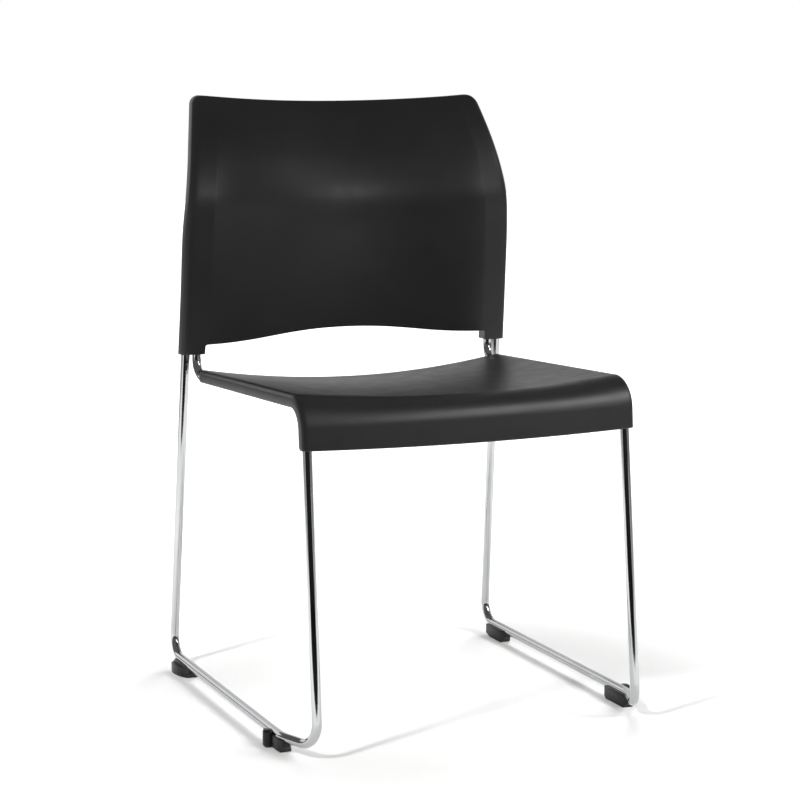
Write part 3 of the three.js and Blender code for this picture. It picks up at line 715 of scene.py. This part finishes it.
def along_leg(name, side, section, levels):
    """A block along the rear leg; levels are (height, inset) pairs."""
    middle_x = sum(x for x, _ in section) / len(section)
    middle_y = sum(y for _, y in section) / len(section)
    rings = []
    for z, inset in levels:
        leg_x, leg_y = rear_leg_at(z)
        ring = []
        for x, y in section:
            inward = Vector((middle_x - x, middle_y - y)).normalized() * inset
            ring.append((side * (leg_x + x + inward.x), leg_y + y + inward.y, z))
        rings.append(ring)
    return mesh_piece(name, *skin_rings(rings))


def rectangle(x0, x1, y0, y1):
    return [(x0, y0), (x1, y0), (x1, y1), (x0, y1)]


def between_uprights(side, z):
    leg_x, leg_y = rear_leg_at(z)
    return side * (leg_x - UPRIGHT_PITCH / 2), leg_y


def square_to_socket(side, z):
    """Matrix whose +Z points square out of the socket's rear wall."""
    x, y = between_uprights(side, z)
    return at(x, y, z) @ Matrix.Rotation(SCREW_TILT - math.pi / 2, 4, "X")


def screw_hole(side, z, radius):
    return bore(radius, *BACK_HOLE, square_to_socket(side, z))


def back_piece():
    back = round_edges(back_block(0, 0, BACK_DEPTH, True), RIM_EDGE, angle=50)
    cut(back, back_block(BACK_SKIN, BACK_SKIN, BACK_DEPTH + 30, False))
    for side in SIDES.values():
        join(back, along_leg("socket", side, SOCKET_SECTION, SOCKET_LEVELS))
    for side in SIDES.values():
        cut(back, rod("channel", side_frame_path(side), ROD / 2 + GAP / 2, 40, 0))
        half = BACK_PLATE["half"] + GAP
        middle = -UPRIGHT_PITCH / 2
        reach = ROD / 2 + GAP
        slot_rear = reach + BACK_PLATE["thick"] + GAP
        slot = rectangle(middle - half, middle + half, reach - 1, slot_rear)
        slot_levels = [(BACK_BOTTOM_Z - 10, 0), (BACK_PLATE["high"] + 2, 0)]
        cut(back, along_leg("slot", side, slot, slot_levels))
        for z in BACK_SCREW["heights"]:
            cut(back, screw_hole(side, z, BACK_SCREW["shank"] + GAP))
    return back


# -------------------- glides
# A glide is a foot with a saddle that holds the runner.  Outlines are in plan, as
# (outward from the runner's centre line, y).
GLIDE = {
    "lip": -0.5,  # height of the saddle's lips above the runner's centre line
    "ledge": -4,  # top of the foot
    "saddle_from": 2,  # height where the saddle starts, inside the foot
    "edge": 0.9,
    "cutter_half": 45,
    # the floor face ends at y, and the foot slopes up from there by rise over run
    "front": [{"y": 60, "run": -8, "rise": 9}, {"y": 108, "run": 5, "rise": 5}],
    "rear": [{"y": 446, "run": -8, "rise": 9}, {"y": 482, "run": 14, "rise": 5}],
}
GLIDE_FOOT = {
    "front": [(-5.5, 51), (3.5, 53), (5.3, 60), (5.6, 78), (9, 113), (-11, 113), (-11, 60)],
    "rear": [(-6, 437), (3.5, 440), (6.5, 447), (11, 455), (14.5, 466), (16, 478), (15.5, 488),
             (11, 496), (-11, 496), (-11, 446)],
}
GLIDE_SADDLE = {
    "front": [(-5.5, 51), (4, 53), (8, 62), (9, 113), (-11, 113), (-11, 60)],
    "rear": [(-6, 437), (4, 440), (8, 450), (10, 470), (10.5, 490), (7, 496), (-11, 496),
             (-11, 446)],
}
GLIDE_POST = {"out": 9.5, "y": 91, "radius": 7.5, "top": 4.5, "dome": 3}


def glide_piece(side, row):
    def outline(points):
        return [(side * (RUNNER_X + out), y) for out, y in points]

    glide = prism("glide", outline(GLIDE_FOOT[row]), 0, RUNNER_Z + GLIDE["ledge"])
    round_edges(glide, GLIDE["edge"])
    saddle_outline = outline(GLIDE_SADDLE[row])
    saddle = prism("saddle", saddle_outline, GLIDE["saddle_from"], RUNNER_Z + GLIDE["lip"])
    join(glide, round_edges(saddle, GLIDE["edge"]))
    if row == "front":
        radius, dome = GLIDE_POST["radius"], GLIDE_POST["dome"]
        height = RUNNER_Z + GLIDE_POST["top"]
        profile = [(0, 0.2), (radius - 2, 0.2), (radius, 3), (radius, height - dome)]
        for angle in quarter_turn(8)[1:]:
            profile.append((
                radius - 4 * (1 - math.cos(angle)), height - dome + dome * math.sin(angle),
            ))
        profile.append((0, height))
        place = at(side * (RUNNER_X + GLIDE_POST["out"]), GLIDE_POST["y"], 0)
        join(glide, lathe("post", profile, 40, place))
    for cutback in GLIDE[row]:
        y, run, rise = (cutback[key] for key in ("y", "run", "rise"))
        beyond = y + run + math.copysign(20, run)
        wedge = [(y, 0), (y + run, rise), (beyond, rise), (beyond, -5), (y, -5)]
        rings = [
            [(side * RUNNER_X + reach, wedge_y, wedge_z) for wedge_y, wedge_z in wedge]
            for reach in (-GLIDE["cutter_half"], GLIDE["cutter_half"])
        ]
        cut(glide, mesh_piece("wedge", *skin_rings(rings)))
    return cut(glide, rod("channel", side_frame_path(side), ROD / 2 + GAP / 2, 48, 0))


# -------------------- stacking bumpers
BUMPER = {"x": 105, "length": 28, "half": 9, "pad": 11, "mouth": 4.2}


def bumper_piece(side, row):
    """A clip on the cross rod with a pad below it."""
    y = FIXING_Y[row] - CROSS_OFFSET
    inside = CROSS_ROD / 2 + GAP
    half, pad, mouth, length = (BUMPER[key] for key in ("half", "pad", "mouth", "length"))
    mouth_angle = math.acos(mouth / inside)
    mouth_z = inside * math.sin(mouth_angle)
    outline = [(mouth + 1.5, mouth_z + 1), (half, 0), (half, -pad + 3), (half - 3, -pad)]
    outline += [(-x, z) for x, z in reversed(outline)]
    arc = 36
    start = math.pi - mouth_angle
    end = 2 * math.pi + mouth_angle
    for k in range(arc + 1):
        angle = lerp(start, end, k / arc)
        outline.append((inside * math.cos(angle), inside * math.sin(angle)))
    rings = []
    tip = length / 2
    bevel = 0.8
    for x, inset in ((-tip, bevel), (-tip + bevel, 0), (tip - bevel, 0), (tip, bevel)):
        ring = []
        for across, up in outline:
            outer = math.hypot(across, up) > inside + 0.5
            scale = 1 - inset / half if outer else 1
            ring.append((side * BUMPER["x"] + x, y + across * scale, cross_z(y) + up * scale))
        rings.append(ring)
    return mesh_piece("bumper", *skin_rings(rings))


# -------------------- plates and screws
def rounded_rectangle(width, length, radius, steps=6):
    points = []
    for quarter, (sx, sy) in enumerate(((1, 1), (-1, 1), (-1, -1), (1, -1))):
        for k in range(steps + 1):
            angle = math.pi / 2 * (quarter + k / steps)
            points.append((
                sx * (width / 2 - radius) + radius * math.cos(angle),
                sy * (length / 2 - radius) + radius * math.sin(angle),
            ))
    return points


def seat_plate_piece(side, row):
    y = FIXING_Y[row]
    top = plate_top(y)
    outline = [
        (side * FIXING_X + px, y - 4 + py)
        for px, py in rounded_rectangle(PLATE["width"], PLATE["length"], 3)
    ]
    plate = prism("plate", outline, top - PLATE["thick"], top)
    round_edges(plate, PLATE_EDGE)
    return cut(plate, bore(PLATE["hole"], -6, 6, at(side * FIXING_X, y, top)))


def back_plate_piece(side):
    front = ROD / 2 + GAP
    middle = -UPRIGHT_PITCH / 2
    half = BACK_PLATE["half"]
    section = rectangle(middle - half, middle + half, front, front + BACK_PLATE["thick"])
    plate = along_leg("plate", side, section, [(BACK_PLATE["low"], 0), (BACK_PLATE["high"], 0)])
    round_edges(plate, PLATE_EDGE)
    for z in BACK_SCREW["heights"]:
        cut(plate, screw_hole(side, z, BACK_SCREW["shank"] + GAP))
    return plate


def screw_piece(screw, place):
    """A pan-head screw with a hexagon socket; its head points along the place's +Z."""
    head, height, shank, length = (screw[key] for key in ("head", "head_height", "shank", "length"))
    profile = [(0, -length), (0.4, -length)]
    pitch = 1.6
    turns = int((length - 3) / pitch)
    profile.append((shank * 0.75, -length + 2.4))
    for k in range(turns):
        low = -length + 2.6 + k * pitch
        profile.append((shank * 0.8, low))
        profile.append((shank, low + pitch * 0.5))
        profile.append((shank * 0.8, low + pitch * 0.9))
    profile += [(shank * 0.85, -0.4), (shank * 0.85, 0), (head - 0.3, 0), (head, 0.3)]
    for angle in quarter_turn(10):
        profile.append((
            head * (0.72 + 0.28 * math.cos(angle)),
            height * 0.4 + height * 0.6 * math.sin(angle),
        ))
    profile.append((0, height))
    made = lathe("screw", profile, 40, place)
    hexagon = []
    for z in (height - 1.8, height + 1):
        hexagon.append([
            place @ Vector((
                head * 0.44 * math.cos(math.pi / 3 * k), head * 0.44 * math.sin(math.pi / 3 * k), z,
            ))
            for k in range(6)
        ])
    return cut(made, mesh_piece("hexagon", *skin_rings(hexagon)))


# -------------------- materials
def set_inputs(node, **values):
    """Constants on a node's sockets; an underscore stands for the space in a name."""
    for name, value in values.items():
        node.inputs[name.replace("_", " ")].default_value = value


class Shading:
    """Small helper around a material's node tree."""

    def __init__(self, name):
        self.material = bpy.data.materials.new(name)
        self.material.use_nodes = True
        self.tree = self.material.node_tree
        self.shader = self.tree.nodes["Principled BSDF"]
        self.place = self.add("ShaderNodeTexCoord").outputs["Object"]

    def add(self, kind, **settings):
        node = self.tree.nodes.new(kind)
        for key, value in settings.items():
            setattr(node, key, value)
        return node

    def link(self, source, target):
        self.tree.links.new(source, target)

    def noise(self, scale, detail=2.0, roughness=0.5, stretch=(1, 1, 1)):
        mapping = self.add("ShaderNodeMapping")
        set_inputs(mapping, Scale=stretch)
        self.link(self.place, mapping.inputs["Vector"])
        node = self.add("ShaderNodeTexNoise")
        set_inputs(node, Scale=scale, Detail=detail, Roughness=roughness)
        self.link(mapping.outputs["Vector"], node.inputs["Vector"])
        return node.outputs["Fac"]

    def spread(self, source, low, high):
        """Spreads the middle of a noise from low to high."""
        node = self.add("ShaderNodeMapRange")
        set_inputs(node, From_Min=0.3, From_Max=0.7, To_Min=low, To_Max=high)
        self.link(source, node.inputs["Value"])
        return node.outputs["Result"]

    def bump(self, *layers):
        """Bump layers of (height, strength, distance in mm)."""
        normal = None
        for height, strength, distance in layers:
            node = self.add("ShaderNodeBump")
            set_inputs(node, Strength=strength, Distance=distance * MM)
            self.link(height, node.inputs["Height"])
            if normal is not None:
                self.link(normal, node.inputs["Normal"])
            normal = node.outputs["Normal"]
        self.link(normal, self.shader.inputs["Normal"])

    def set(self, **values):
        set_inputs(self.shader, **values)

    def colour(self, pattern, dark, light):
        share = self.spread(pattern, 0, 1)
        node = self.add("ShaderNodeMix", data_type="RGBA")
        set_inputs(node, A=(*dark, 1), B=(*light, 1))
        self.link(share, node.inputs["Factor"])
        self.drive("Base Color", node.outputs["Result"])

    def drive(self, name, source):
        self.link(source, self.shader.inputs[name])


def chrome_material():
    """Bright chrome plate with a trace of waviness and fine handling marks."""
    made = Shading("chrome_rod")
    made.set(Metallic=1.0)
    made.colour(made.noise(14, 3), (0.48, 0.485, 0.495), (0.54, 0.545, 0.555))
    smear = made.noise(160, 4, 0.6, (1, 1, 0.15))
    made.drive("Roughness", made.spread(smear, 0.05, 0.11))
    made.bump((made.noise(35, 2), 0.25, 0.02), (made.noise(900, 2), 0.05, 0.01))
    return made.material


def shell_material():
    """Black moulded polypropylene: a fine spark-eroded grain, slight flow mottle."""
    made = Shading("shell_plastic")
    made.colour(made.noise(9, 4, 0.55), (0.0128, 0.0128, 0.0137), (0.0168, 0.0168, 0.0178))
    patches = made.noise(45, 4, 0.6)
    made.drive("Roughness", made.spread(patches, 0.36, 0.43))
    made.set(Specular_IOR_Level=0.35, IOR=1.49)
    made.bump((made.noise(1300, 2, 0.6), 0.35, 0.05), (made.noise(420, 2, 0.5), 0.12, 0.06))
    return made.material


def glide_material():
    """Black nylon, smoother than the shells, with a light scuff."""
    made = Shading("glide_plastic")
    made.set(Specular_IOR_Level=0.3)
    made.colour(made.noise(60, 3), (0.006, 0.006, 0.0065), (0.01, 0.01, 0.0106))
    made.drive("Roughness", made.spread(made.noise(240, 4, 0.65), 0.24, 0.38))
    made.bump((made.noise(1500, 2), 0.2, 0.03))
    return made.material


def bumper_material():
    """Soft black plastic with a dull skin."""
    made = Shading("bumper_plastic")
    made.colour(made.noise(90, 3), (0.02, 0.02, 0.02), (0.03, 0.03, 0.03))
    made.drive("Roughness", made.spread(made.noise(300, 3), 0.6, 0.75))
    made.bump((made.noise(1100, 2), 0.3, 0.05))
    return made.material


def steel_material():
    """Cold-rolled steel with rolling lines."""
    made = Shading("plate_steel")
    made.set(Metallic=1.0)
    lines = made.noise(120, 4, 0.7, (1, 18, 1))
    made.colour(lines, (0.42, 0.43, 0.44), (0.54, 0.55, 0.56))
    made.drive("Roughness", made.spread(lines, 0.3, 0.45))
    made.bump((lines, 0.2, 0.03))
    return made.material


def zinc_material():
    """Bright zinc plate, slightly yellowed."""
    made = Shading("screw_zinc")
    made.set(Metallic=1.0)
    made.colour(made.noise(300, 3), (0.58, 0.58, 0.53), (0.68, 0.67, 0.62))
    made.drive("Roughness", made.spread(made.noise(500, 3), 0.25, 0.4))
    made.bump((made.noise(800, 2), 0.15, 0.02))
    return made.material


# -------------------- pieces
def build_chair():
    chrome = (chrome_material(), "chrome_rod")
    shell = (shell_material(), "shell_plastic")
    nylon = (glide_material(), "glide_plastic")
    rubber = (bumper_material(), "bumper_plastic")
    steel = (steel_material(), "plate_steel")
    zinc = (zinc_material(), "screw_zinc")

    for name, side in SIDES.items():
        piece = rod("rod", side_frame_path(side), ROD / 2)
        finish_piece(piece, f"frame_rod_{name}", chrome, f"side_frame_{name}")
    for row in ROWS:
        y = FIXING_Y[row] - CROSS_OFFSET
        end = RAIL_X - ROD / 2 - GAP
        inboard = end - CROSS_RAMP
        path = bent_path([
            ((-end, y, rail_z(y)), 0), ((-inboard, y, cross_z(y)), BEND),
            ((inboard, y, cross_z(y)), BEND), ((end, y, rail_z(y)), 0),
        ])
        piece = rod("rod", path, CROSS_ROD / 2, 40, 0.2)
        finish_piece(piece, f"brace_rod_{row}", chrome, f"cross_rod_{row}")

    finish_piece(seat_piece(), "seat_moulding", shell, "seat_shell")
    finish_piece(back_piece(), "back_moulding", shell, "back_shell")

    for name, side in SIDES.items():
        for row in ROWS:
            label = f"{row}_{name}"
            piece = glide_piece(side, row)
            finish_piece(piece, f"runner_glide_{label}", nylon, f"glide_{label}")
            piece = bumper_piece(side, row)
            finish_piece(piece, f"bumper_clip_{label}", rubber, f"stack_bumper_{label}")
            piece = seat_plate_piece(side, row)
            finish_piece(piece, f"weld_plate_{label}", steel, f"seat_plate_{label}")
            under = plate_top(FIXING_Y[row]) - PLATE["thick"] - GAP
            place = at(side * FIXING_X, FIXING_Y[row], under) @ Matrix.Rotation(math.pi, 4, "X")
            piece = screw_piece(SCREW, place)
            finish_piece(piece, f"seat_fixing_{label}", zinc, f"seat_screw_{label}")
        piece = back_plate_piece(side)
        finish_piece(piece, f"upright_plate_{name}", steel, f"back_plate_{name}")
        for level, z in zip(("lower", "upper"), BACK_SCREW["heights"]):
            label = f"{level}_{name}"
            out = (SOCKET["rear"] + 2 * GAP) * math.cos(SCREW_TILT)
            piece = screw_piece(BACK_SCREW, square_to_socket(side, z) @ at(0, 0, out))
            finish_piece(piece, f"back_fixing_{label}", zinc, f"back_screw_{label}")


# -------------------- studio
def flat_colour(name, colour, glow=0.0):
    """A dull cloth or paper of one colour, which may also glow."""
    material = bpy.data.materials.new(name)
    material.use_nodes = True
    shader = material.node_tree.nodes["Principled BSDF"]
    set_inputs(shader, Base_Color=(*colour, 1), Roughness=0.9, Specular_IOR_Level=0.0)
    set_inputs(shader, Emission_Color=(*colour, 1), Emission_Strength=glow)
    return material


def sheet_object(name, corners, material):
    mesh = bpy.data.meshes.new(name)
    mesh.from_pydata(corners, [], [(0, 1, 2, 3)])
    mesh.materials.append(material)
    made = new_object(name, mesh)
    return made


def area_light(name, place, aim, size, power):
    light = bpy.data.lights.new(name, "AREA")
    light.shape = "RECTANGLE"
    light.size, light.size_y = size
    light.energy = power
    made = new_object(name, light)
    made.location = place
    made.rotation_euler = (Vector(aim) - Vector(place)).to_track_quat("-Z", "Y").to_euler()
    return made


CAMERA_AZIMUTH = math.radians(-23.605)
CAMERA_PITCH = math.radians(8.444)
CAMERA = {"lens": 97.87, "sensor": 36, "x": -1.2109, "before_chair": 2.498, "height": 0.8678}


def around(azimuth_from_camera, distance, height):
    """A place around the chair, by its angle from the direction of the camera."""
    angle = CAMERA_AZIMUTH + math.radians(azimuth_from_camera)
    return Vector((math.sin(angle) * distance, -math.cos(angle) * distance, height))


# Light of the studio around the chair: angle from the camera's side, elevation, glow.
STUDIO_PANELS = [
    (0, 50, 0, 9, 0.02),
    (50, 60, 0, 5, 0.9),
    (60, 110, 0, 9, 0.3),
    (50, 60, 5, 9, 0.15),
    (0, 110, 9, 90, 0.15),
    (110, 150, 0, 8, 0.08),
    (110, 150, 8, 33, 1.15),
    (150, 180, 0, 33, 0.8),
    (110, 180, 33, 90, 0.15),
]
PANEL_ROWS = 6  # a tall panel is divided into this many rows
STUDIO_RADIUS = 4.5
STUDIO_STEP = 10  # degrees between the corners of panels and floor cloths
PAPER_HALF = 12  # half the width of the floor
PAPER_FRONT = 0.86  # the paper ends here towards the camera in reflections
PAPER_SIDE = 2.4  # and here all around
CLOTH_Z = 0.002
BLACK_SWEEP = 50  # the cloth is black within this angle of the camera's direction
# The paper's glow is lowest round this point and rises with distance from it: painted shade near the
# chair.
PAINTED_SHADE_CENTRE = (0.03, -0.06, 0)
PAPER_GLOW_AND_SHADE = {"From_Min": 0.3, "From_Max": 0.7, "To_Min": 0.13, "To_Max": 0.8}
# Each light: (angle from the camera's side, distance, height), aim, size, watts.
LIGHTS = {
    "key": ((47, 1.9, 1.18), (0, 0.2, 0.7), (0.55, 0.5), 7.2),
    "left": ((-43, 2.2, 2.0), (0, 0, 0.2), (0.2, 0.2), 36),
    "strip": ((68, 1.6, 1.3), (0.22, -0.3, 0.3), (1.0, 0.8), 1.35),
    "back": ((165, 3.0, 2.6), (0, 0, 0.2), (1.2, 1.2), 66),
}
STRIP_SPREAD = math.radians(32)


def on_dome(azimuth, elevation):
    reach = STUDIO_RADIUS * math.cos(math.radians(elevation))
    return around(azimuth, reach, STUDIO_RADIUS * math.sin(math.radians(elevation)))


def unseen(made, diffuse=True):
    """Leaves an object out of the picture, but not out of what the chair reflects."""
    made.visible_camera = False
    made.visible_shadow = False
    made.visible_diffuse = diffuse


def paint_shade_round_chair(paper):
    """Lets the paper grow brighter away from the chair; its lower glow near the chair is painted shade
    round the chair.
    """
    tree = paper.node_tree
    place = tree.nodes.new("ShaderNodeTexCoord")
    distance = tree.nodes.new("ShaderNodeVectorMath")
    distance.operation = "DISTANCE"
    distance.inputs[1].default_value = PAINTED_SHADE_CENTRE
    spread = tree.nodes.new("ShaderNodeMapRange")
    spread.interpolation_type = "SMOOTHSTEP"
    set_inputs(spread, **PAPER_GLOW_AND_SHADE)
    tree.links.new(place.outputs["Object"], distance.inputs[0])
    tree.links.new(distance.outputs["Value"], spread.inputs["Value"])
    shader = tree.nodes["Principled BSDF"]
    tree.links.new(spread.outputs["Result"], shader.inputs["Emission Strength"])


def studio_panel(number, start, end, low, high, glow):
    """One panel of STUDIO_PANELS on either side of the camera's direction."""
    cloth = flat_colour(f"panel_cloth_{number}", (0.0, 0.0, 0.0))
    shader = cloth.node_tree.nodes["Principled BSDF"]
    set_inputs(shader, Emission_Color=(1, 1, 1, 1), Emission_Strength=glow)
    count = round((end - start) / STUDIO_STEP)
    tall = high - low > STUDIO_STEP
    levels = [lerp(low, high, k / PANEL_ROWS) for k in range(PANEL_ROWS)] if tall else [low]
    levels.append(high)
    for side in SIDES.values():
        points = []
        faces = []
        for level in levels:
            points += [on_dome(side * (start + STUDIO_STEP * k), level) for k in range(count + 1)]
        for row in range(len(levels) - 1):
            for k in range(count):
                a = row * (count + 1) + k
                faces.append((a, a + 1, a + count + 2, a + count + 1))
        mesh = bpy.data.meshes.new(f"panel_{number}")
        mesh.from_pydata(points, [], faces)
        mesh.materials.append(cloth)
        panel = new_object(f"panel_{number}_{side}", mesh)
        unseen(panel)


def floor_cloths():
    """Cloth around the paper, black towards the camera, that only reflections show."""
    black = flat_colour("black_cloth", (0.02, 0.02, 0.02))
    grey = flat_colour("grey_cloth", (0.4, 0.4, 0.4), glow=0.9)
    for start in range(-180, 180, STUDIO_STEP):
        ends = (start, start + STUDIO_STEP)
        in_front = -BLACK_SWEEP <= start < BLACK_SWEEP
        near = []
        for angle in ends:
            reach = PAPER_FRONT / math.cos(math.radians(angle)) if in_front else PAPER_SIDE
            near.append(around(angle, reach, CLOTH_Z))
        far = [around(angle, STUDIO_RADIUS, CLOTH_Z) for angle in reversed(ends)]
        cloth = black if in_front else grey
        unseen(sheet_object(f"floor_cloth_{start}", near + far, cloth), diffuse=False)


def build_studio():
    world = bpy.data.worlds.new("studio")
    world.use_nodes = True
    set_inputs(world.node_tree.nodes["Background"], Color=(1, 1, 1, 1), Strength=1.0)
    bpy.context.scene.world = world

    paper = flat_colour("paper", (0.86, 0.86, 0.855))
    # painted shade round the chair, in the paper's glow
    paint_shade_round_chair(paper)
    far = PAPER_HALF
    sheet_object("floor", [(-far, -far, 0), (far, -far, 0), (far, far, 0), (-far, far, 0)], paper)
    for number, panel in enumerate(STUDIO_PANELS):
        studio_panel(number, *panel)
    floor_cloths()

    lights = {}
    for name, (place, aim, size, power) in LIGHTS.items():
        lights[name] = area_light(name, around(*place), aim, size, power)
    lights["strip"].data.spread = STRIP_SPREAD
    for name in ("left", "back"):
        lights[name].visible_glossy = False


def build_camera():
    camera = bpy.data.cameras.new("camera")
    camera.sensor_width = CAMERA["sensor"]
    camera.lens = CAMERA["lens"]
    made = new_object("camera", camera)
    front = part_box("side_frame_left")[0].y
    made.location = (CAMERA["x"], front - CAMERA["before_chair"], CAMERA["height"])
    made.rotation_euler = (math.pi / 2 - CAMERA_PITCH, 0, CAMERA_AZIMUTH)
    bpy.context.scene.camera = made
    bpy.context.scene.view_settings.view_transform = "Standard"


build_camera()
build_studio()
build_chair()
